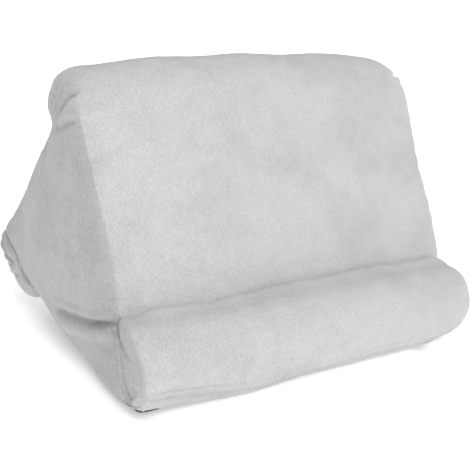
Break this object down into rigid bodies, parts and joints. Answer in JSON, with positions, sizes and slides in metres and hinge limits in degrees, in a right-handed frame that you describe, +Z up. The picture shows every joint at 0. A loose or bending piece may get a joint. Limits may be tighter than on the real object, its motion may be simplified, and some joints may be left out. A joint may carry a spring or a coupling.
{
  "type": "tablet cushion stand",
  "caption": "Foam wedge cushion in a short plush cover that holds a tablet or book on a soft rolled ledge against a sloping face.",
  "frame": {"origin": "middle of the footprint, on the surface that the cushion stands on", "axes": "+X along the lip, to the right of someone who faces the sloping front; +Y from the lip to the rear roll; +Z up"},
  "size_m": [0.3186, 0.313, 0.2317],
  "materials": {
    "plush": "short pile plush, light grey, soft sheen",
    "grip_cloth": "black woven cloth with small raised grip dots, matte",
    "foam": "open-cell polyurethane foam, matte, hidden inside the cover"
  },
  "bodies": {
    "root": {"foam_core": "foam", "front_panel": "plush", "rear_panel": "plush", "lip_panel": "plush", "base_strip": "plush", "grip_panel": "grip_cloth", "side_panel_left": "plush", "side_panel_right": "plush"}
  },
  "joints": []
}
